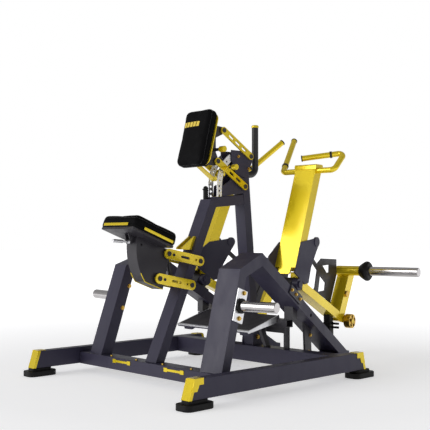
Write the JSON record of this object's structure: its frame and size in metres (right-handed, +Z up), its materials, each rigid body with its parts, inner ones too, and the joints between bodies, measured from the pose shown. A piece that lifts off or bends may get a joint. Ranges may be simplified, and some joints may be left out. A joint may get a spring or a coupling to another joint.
{
  "type": "t bar row",
  "caption": "Plate-loaded seated row with two independent lever arms, adjustable seat and chest pad, foot platform and plate storage horns.",
  "frame": {"origin": "centre of the machine on the floor", "axes": "+X the way the seated user faces, +Y the user's left, +Z up"},
  "size_m": [1.572, 1.412, 1.3534],
  "materials": {
    "frame_powder_coat": "satin powder coat",
    "dark_steel": "satin black",
    "yellow_paint": "gloss enamel",
    "black_rubber": "matt",
    "black_grip": "satin foam sleeve",
    "chrome_sleeve": "polished",
    "zinc_plate": "bright plated",
    "gold_hardware": "polished",
    "upholstery": "satin",
    "tread_rubber": "ribbed",
    "grip_cap_plastic": "gloss"
  },
  "bodies": {
    "frame": {"side_rails": "frame_powder_coat", "cross_beams": "frame_powder_coat", "right_side_frame": "frame_powder_coat", "left_side_frame": "frame_powder_coat", "front_outriggers": "frame_powder_coat", "rubber_feet": "black_rubber", "cover_plates": "yellow_paint", "seat_column": "frame_powder_coat", "seat_stop_gusset": "yellow_paint", "crosspiece": "frame_powder_coat", "mast_post": "frame_powder_coat", "mast_head_plates": "frame_powder_coat", "pad_adjuster_strips": "zinc_plate", "column_post_plug": "black_rubber", "link_pivot_pins": "dark_steel", "foot_platform": "frame_powder_coat", "platform_tread": "tread_rubber", "platform_edge_strips": "zinc_plate", "platform_supports": "dark_steel", "storage_flanges": "zinc_plate", "storage_collars": "black_rubber", "storage_sleeves": "chrome_sleeve", "pillow_blocks": "dark_steel", "rest_stops": "black_rubber", "frame_bolts": "gold_hardware", "fixed_grip_bar": "black_grip", "fixed_grip_cap": "yellow_paint"},
    "right_arm": {"right_lever_beam": "yellow_paint", "right_weight_arm": "yellow_paint", "right_hub_plates": "frame_powder_coat", "right_brace_plate": "dark_steel", "right_work_sleeve": "chrome_sleeve", "right_horn_bumper": "black_rubber", "right_handle": "yellow_paint", "right_handle_caps": "grip_cap_plastic", "right_spoked_wheel": "gold_hardware"},
    "left_arm": {"left_lever_beam": "yellow_paint", "left_weight_arm": "yellow_paint", "left_hub_plates": "frame_powder_coat", "left_brace_plate": "dark_steel", "left_work_sleeve": "chrome_sleeve", "left_horn_bumper": "black_rubber", "left_handle": "yellow_paint", "left_handle_caps": "grip_cap_plastic", "left_spoked_wheel": "gold_hardware"},
    "seat_upper_bars": {"seat_upper_links": "yellow_paint"},
    "seat_lower_bars": {"seat_lower_links": "yellow_paint"},
    "seat": {"seat_carriage": "dark_steel", "seat_pad": "upholstery", "seat_trim_strips": "yellow_paint"},
    "release_lever": {"seat_release_lever": "zinc_plate"},
    "gas_spring_cylinder": {"gas_cylinder": "dark_steel"},
    "gas_spring_rod": {"gas_rod": "dark_steel"},
    "pad_upper_bars": {"pad_upper_links": "yellow_paint"},
    "pad_lower_bars": {"pad_lower_links": "yellow_paint"},
    "chest_support": {"pad_carriage": "dark_steel", "pad_backing": "yellow_paint", "chest_pad": "upholstery"},
    "pull_pin": {"pop_pin": "dark_steel", "pop_pin_cap": "yellow_paint"}
  },
  "joints": [
    {"name": "right_arm_pivot", "type": "hinge", "parent": "frame", "child": "right_arm", "pos_m": [0.16033, -0.32587, 0.462], "axis": [0.1564, -0.9877, 0], "range_deg": [0, 35]},
    {"name": "left_arm_pivot", "type": "hinge", "parent": "frame", "child": "left_arm", "pos_m": [0.16033, 0.32587, 0.462], "axis": [-0.1564, -0.9877, 0], "range_deg": [0, 35]},
    {"name": "seat_height", "type": "hinge", "parent": "frame", "child": "seat_upper_bars", "pos_m": [-0.18502, 0, 0.578], "axis": [0, 1, 0], "range_deg": [-12, 12]},
    {"name": "seat_lower_bar_pivot", "type": "hinge", "parent": "frame", "child": "seat_lower_bars", "pos_m": [-0.24202, 0, 0.461], "axis": [0, 1, 0], "range_deg": [-12, 12]},
    {"name": "seat_carriage_pivot", "type": "hinge", "parent": "seat_upper_bars", "child": "seat", "pos_m": [-0.39102, 0, 0.617], "axis": [0, 1, 0], "range_deg": [-12, 12]},
    {"name": "gas_cylinder_pivot", "type": "hinge", "parent": "seat_lower_bars", "child": "gas_spring_cylinder", "pos_m": [-0.33002, 0, 0.4777], "axis": [0, 1, 0], "range_deg": [-9.5, 9.5]},
    {"name": "gas_rod_slide", "type": "slide", "parent": "gas_spring_cylinder", "child": "gas_spring_rod", "axis": [-0.1923, 0, 0.9813], "range_m": [-0.0168, 0.0168]},
    {"name": "release_lever_pivot", "type": "hinge", "parent": "seat", "child": "release_lever", "pos_m": [-0.58902, 0, 0.675], "axis": [0, 1, 0], "range_deg": [0, 12], "stiffness_Nm_per_rad": 0.8, "springref_deg": -17.19},
    {"name": "chest_height", "type": "hinge", "parent": "frame", "child": "pad_upper_bars", "pos_m": [0.18298, 0, 1.125], "axis": [0, 1, 0], "range_deg": [-15, 15]},
    {"name": "pad_lower_bar_pivot", "type": "hinge", "parent": "frame", "child": "pad_lower_bars", "pos_m": [0.13898, 0, 0.963], "axis": [0, 1, 0], "range_deg": [-15, 15]},
    {"name": "pad_carriage_pivot", "type": "hinge", "parent": "pad_upper_bars", "child": "chest_support", "pos_m": [-0.01802, 0, 1.246], "axis": [0, 1, 0], "range_deg": [-15, 15]},
    {"name": "pull_pin_slide", "type": "slide", "parent": "pad_lower_bars", "child": "pull_pin", "axis": [0, 1, 0], "range_m": [0, 0.008]}
  ],
  "couplings": [
    {"joint": "seat_lower_bar_pivot", "follows": "seat_height", "ratio": 1},
    {"joint": "seat_carriage_pivot", "follows": "seat_height", "ratio": -1},
    {"joint": "gas_cylinder_pivot", "follows": "seat_height", "ratio": -0.773},
    {"joint": "gas_rod_slide", "follows": "seat_height", "m_per_rad": 0.0782},
    {"joint": "pad_lower_bar_pivot", "follows": "chest_height", "ratio": 1},
    {"joint": "pad_carriage_pivot", "follows": "chest_height", "ratio": -1}
  ]
}
